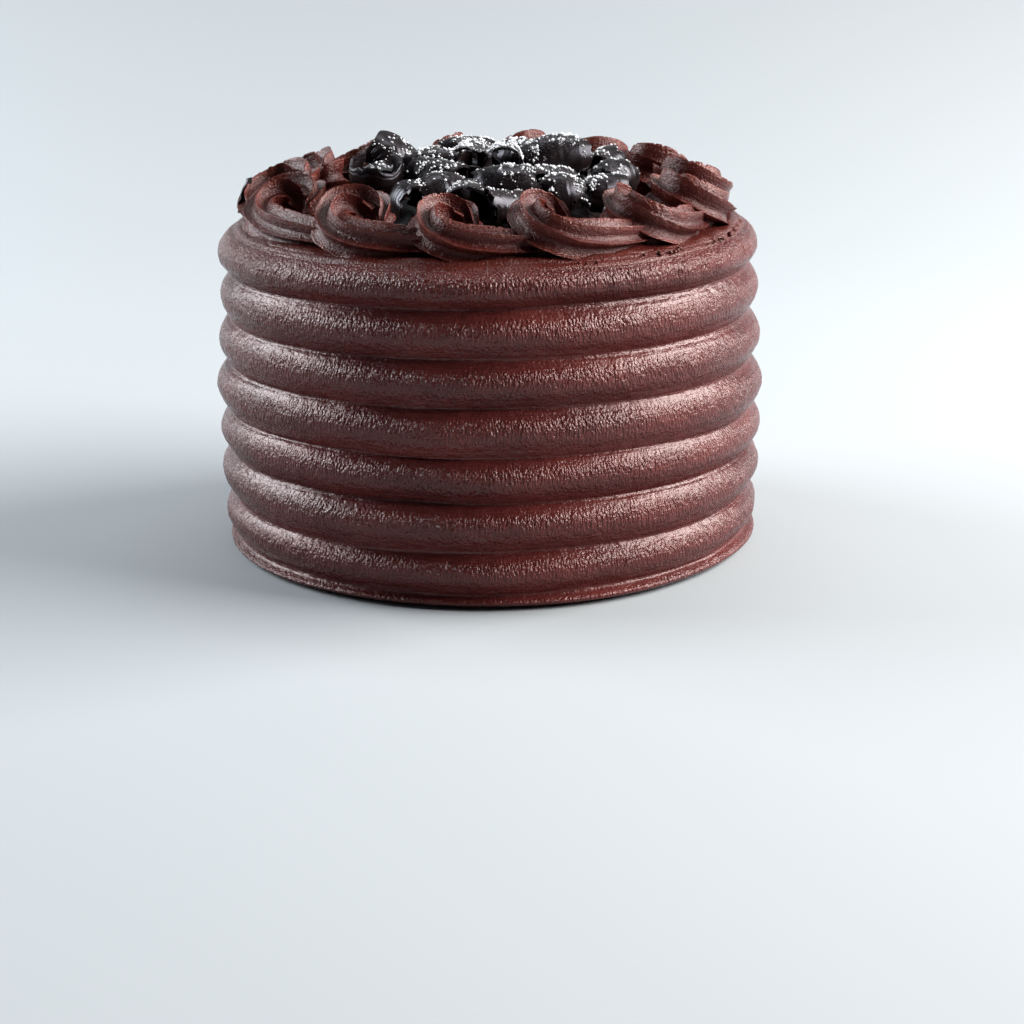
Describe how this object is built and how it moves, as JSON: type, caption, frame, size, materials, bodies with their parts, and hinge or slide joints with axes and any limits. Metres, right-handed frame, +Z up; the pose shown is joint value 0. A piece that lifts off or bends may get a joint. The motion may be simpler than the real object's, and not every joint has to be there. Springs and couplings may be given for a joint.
{
  "type": "layer cake",
  "caption": "Tall round layer cake in combed chocolate icing, topped with a ring of piped swirls round a heap of dark chocolate curls.",
  "frame": {"origin": "centre of the cake's flat base", "axes": "+Z up, -Y towards the side that the picture shows, +X to the right in the picture"},
  "size_m": [0.2073, 0.2077, 0.1524],
  "materials": {
    "icing": "satin chocolate buttercream, dragged smooth in rounded bands by a comb, with fine pits and drag grain",
    "piped_icing": "piped chocolate buttercream with sharp ribs, duller than the side, slightly pitted",
    "dark_chocolate": "thin rolled dark chocolate with a soft sheen, dusted with icing sugar"
  },
  "bodies": {
    "root": {"cake_body": "icing", "rosette_01": "piped_icing", "rosette_02": "piped_icing", "rosette_03": "piped_icing", "rosette_04": "piped_icing", "rosette_05": "piped_icing", "rosette_06": "piped_icing", "rosette_07": "piped_icing", "rosette_08": "piped_icing", "rosette_09": "piped_icing", "rosette_10": "piped_icing", "rosette_11": "piped_icing", "rosette_12": "piped_icing", "rosette_13": "piped_icing", "rosette_14": "piped_icing", "chocolate_curls": "dark_chocolate", "stray_curl": "dark_chocolate"}
  },
  "joints": []
}
